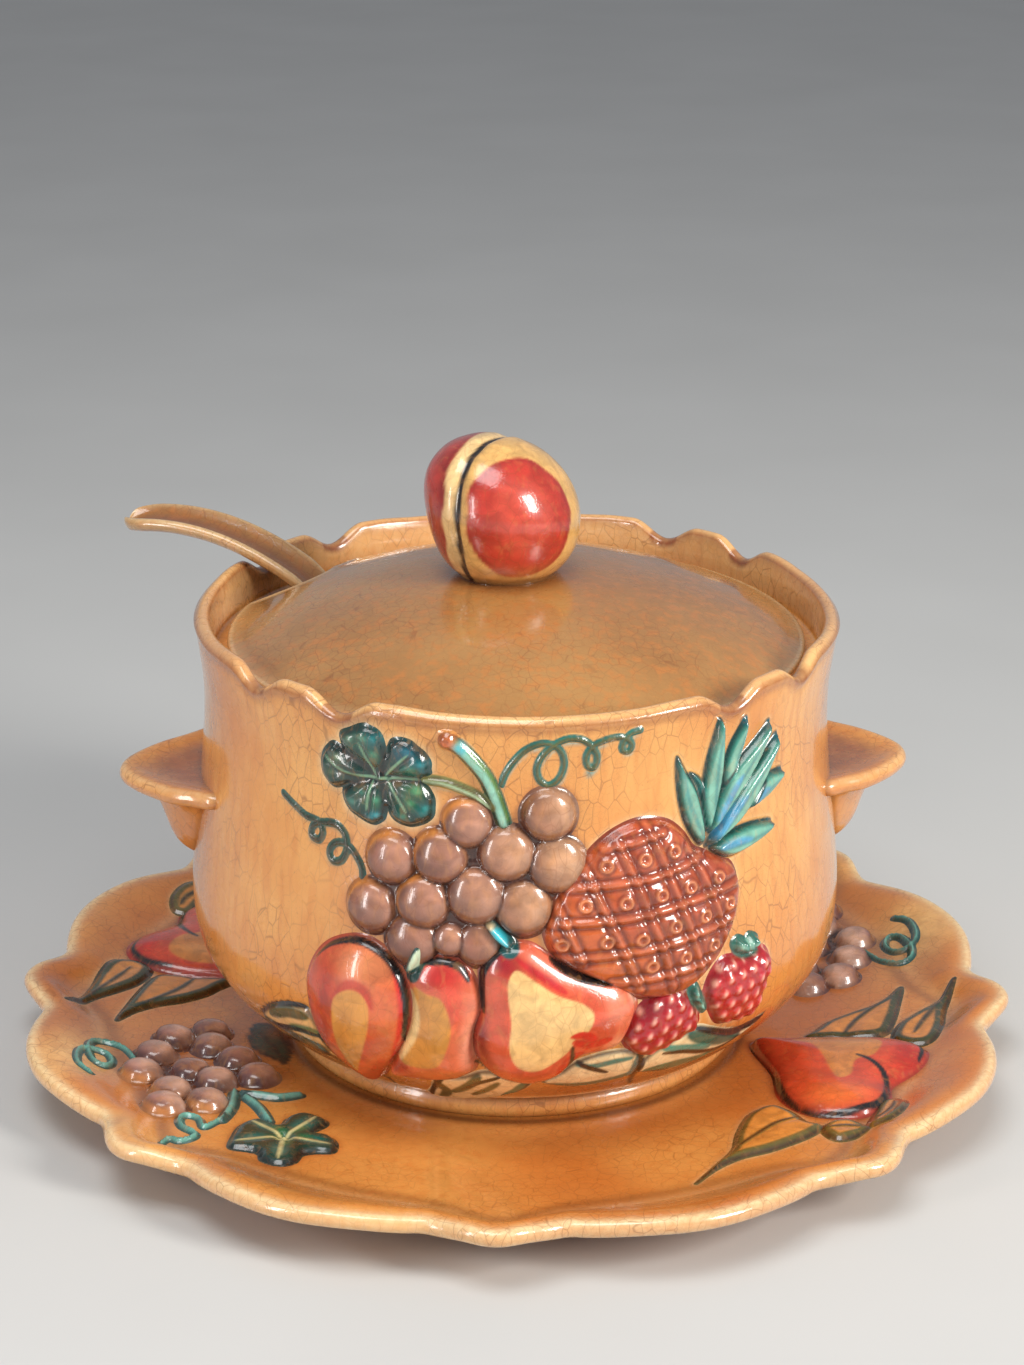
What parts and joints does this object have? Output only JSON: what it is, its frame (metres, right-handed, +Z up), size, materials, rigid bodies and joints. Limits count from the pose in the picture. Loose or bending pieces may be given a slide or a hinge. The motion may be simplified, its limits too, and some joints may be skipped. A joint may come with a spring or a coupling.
{
  "type": "soup tureen set",
  "caption": "Round covered soup tureen in glazed ceramic with fruit reliefs, notched rim, lug handles, fruit-shaped lid knob, channelled ladle and scalloped underplate.",
  "frame": {"origin": "middle of the underplate's foot ring, on the table", "axes": "+Z up, -Y towards the viewer of the decorated front, +X to the handle on that viewer's right"},
  "size_m": [0.3804, 0.3804, 0.245],
  "materials": {
    "honey_glaze": "glossy honey-yellow glaze with fine craquelure",
    "plate_glaze": "glossy honey-orange glaze with fine craquelure",
    "lid_glaze": "glossy honey-brown glaze with fine craquelure",
    "grape_glaze": "glossy mauve-brown glaze, darker where it pools",
    "leaf_glaze": "glossy dark teal-green glaze",
    "teal_glaze": "glossy teal glaze with dark outlines",
    "olive_glaze": "brushed teal and olive glaze with black outlines",
    "amber_glaze": "glossy red-amber glaze pooled in the grid",
    "fruit_glaze": "brushed red and orange glaze with cream patches",
    "berry_glaze": "glossy crimson glaze with pale seeds"
  },
  "bodies": {
    "underplate": {"underplate": "plate_glaze", "plate_grapes": "grape_glaze", "plate_vine": "leaf_glaze", "plate_pear": "fruit_glaze", "plate_leaves": "olive_glaze"},
    "tureen": {"tureen_body": "honey_glaze", "left_handle": "honey_glaze", "right_handle": "honey_glaze", "vine_leaf": "leaf_glaze", "vine_stem": "teal_glaze", "tendrils": "teal_glaze", "grape_bunch": "grape_glaze", "pineapple": "amber_glaze", "pineapple_crown": "teal_glaze", "peach": "fruit_glaze", "apple": "fruit_glaze", "pear": "fruit_glaze", "strawberries": "berry_glaze", "foliage": "olive_glaze"},
    "lid": {"lid": "lid_glaze", "lid_knob": "fruit_glaze"},
    "ladle": {"ladle_bowl": "lid_glaze", "ladle_handle": "lid_glaze"}
  },
  "joints": [
    {"name": "tureen_lift", "type": "slide", "parent": "underplate", "child": "tureen", "axis": [0, 0, 1], "range_m": [0, 0.12]},
    {"name": "lid_lift", "type": "slide", "parent": "tureen", "child": "lid", "axis": [0, 0, 1], "range_m": [0, 0.2]},
    {"name": "ladle_lift", "type": "slide", "parent": "tureen", "child": "ladle", "axis": [0, 0, 1], "range_m": [0, 0.2]}
  ],
  "couplings": [
    {"joint": "ladle_lift", "follows": "lid_lift", "ratio": 1}
  ]
}
